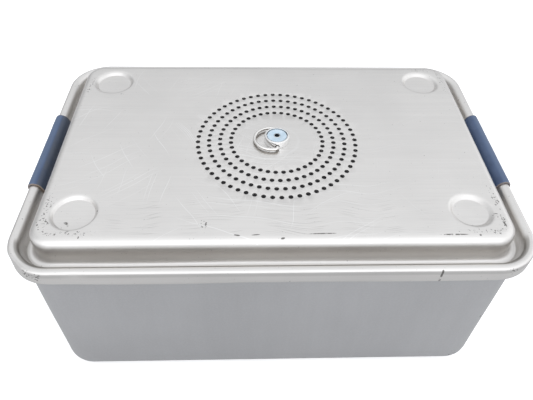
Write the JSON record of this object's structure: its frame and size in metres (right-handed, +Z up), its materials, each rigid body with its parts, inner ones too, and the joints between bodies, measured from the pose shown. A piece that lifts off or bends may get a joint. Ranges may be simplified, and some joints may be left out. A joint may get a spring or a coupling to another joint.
{
  "type": "instrument sterilising container",
  "caption": "Closed deep-drawn metal box with a perforated raised lid, rim grips, a centre stud with a wire pull ring, a filter holder and a lift-out instrument tray.",
  "frame": {"origin": "middle of the box's footprint, on the surface that its feet stand on", "axes": "+Z up, +X along the box's length to the right as the picture shows it, +Y to the back"},
  "size_m": [0.3206, 0.214, 0.1432],
  "materials": {
    "tub_aluminium": "satin anodised, fine wear",
    "lid_aluminium": "brushed lengthwise, scratched",
    "blue_plastic": "satin moulded plastic",
    "stud_steel": "polished steel",
    "disc_blue": "plain satin",
    "ring_wire": "drawn stainless wire",
    "pale_silicone": "matte silicone",
    "blue_silicone": "matte silicone",
    "filter_paper": "matte dark fibre",
    "plate_steel": "brushed",
    "spring_steel": "rolled spring steel",
    "knob_plastic": "moulded, fine grain",
    "tray_steel": "brushed stainless sheet"
  },
  "bodies": {
    "tub": {"tub_shell": "tub_aluminium"},
    "lid": {"lid_shell": "lid_aluminium", "lid_gasket": "pale_silicone", "left_rim_grip": "blue_plastic", "right_rim_grip": "blue_plastic", "stud_cup": "stud_steel", "stud_disc": "disc_blue", "stud_screw": "stud_steel", "stud_seal": "pale_silicone", "stud_nut": "stud_steel"},
    "ring": {"pull_ring": "ring_wire"},
    "retainer": {"retainer_plate": "plate_steel", "outer_filter_seal": "pale_silicone", "inner_filter_seal": "pale_silicone", "filter_paper": "filter_paper", "retainer_spring": "spring_steel"},
    "knob": {"retainer_knob": "knob_plastic"},
    "tray": {"tray_pan": "tray_steel", "tray_feet": "blue_silicone", "front_rail": "blue_silicone", "back_rail": "blue_silicone", "handle_lugs": "tray_steel"},
    "left_handle": {"left_tray_handle": "ring_wire"},
    "right_handle": {"right_tray_handle": "ring_wire"}
  },
  "joints": [
    {"name": "lid_lift", "type": "slide", "parent": "tub", "child": "lid", "axis": [0, 0, 1], "range_m": [0, 0.16]},
    {"name": "ring_swing", "type": "hinge", "parent": "lid", "child": "ring", "pos_m": [0.0035, -0.003, 0.1399], "axis": [0, 1, 0], "range_deg": [-2, 182]},
    {"name": "retainer_drop", "type": "slide", "parent": "lid", "child": "retainer", "axis": [0, 0, -1], "range_m": [0, 0.03]},
    {"name": "knob_turn", "type": "hinge", "parent": "retainer", "child": "knob", "pos_m": [0.0035, -0.003, 0.1245], "axis": [0, 0, 1], "range_deg": [0, 360]},
    {"name": "tray_lift", "type": "slide", "parent": "tub", "child": "tray", "axis": [0, 0, 1], "range_m": [0, 0.04]},
    {"name": "left_handle_fold", "type": "hinge", "parent": "tray", "child": "left_handle", "pos_m": [-0.1355, 0, 0.0485], "axis": [0, -1, 0], "range_deg": [0, 90]},
    {"name": "right_handle_fold", "type": "hinge", "parent": "tray", "child": "right_handle", "pos_m": [0.1355, 0, 0.0485], "axis": [0, 1, 0], "range_deg": [0, 90]}
  ]
}
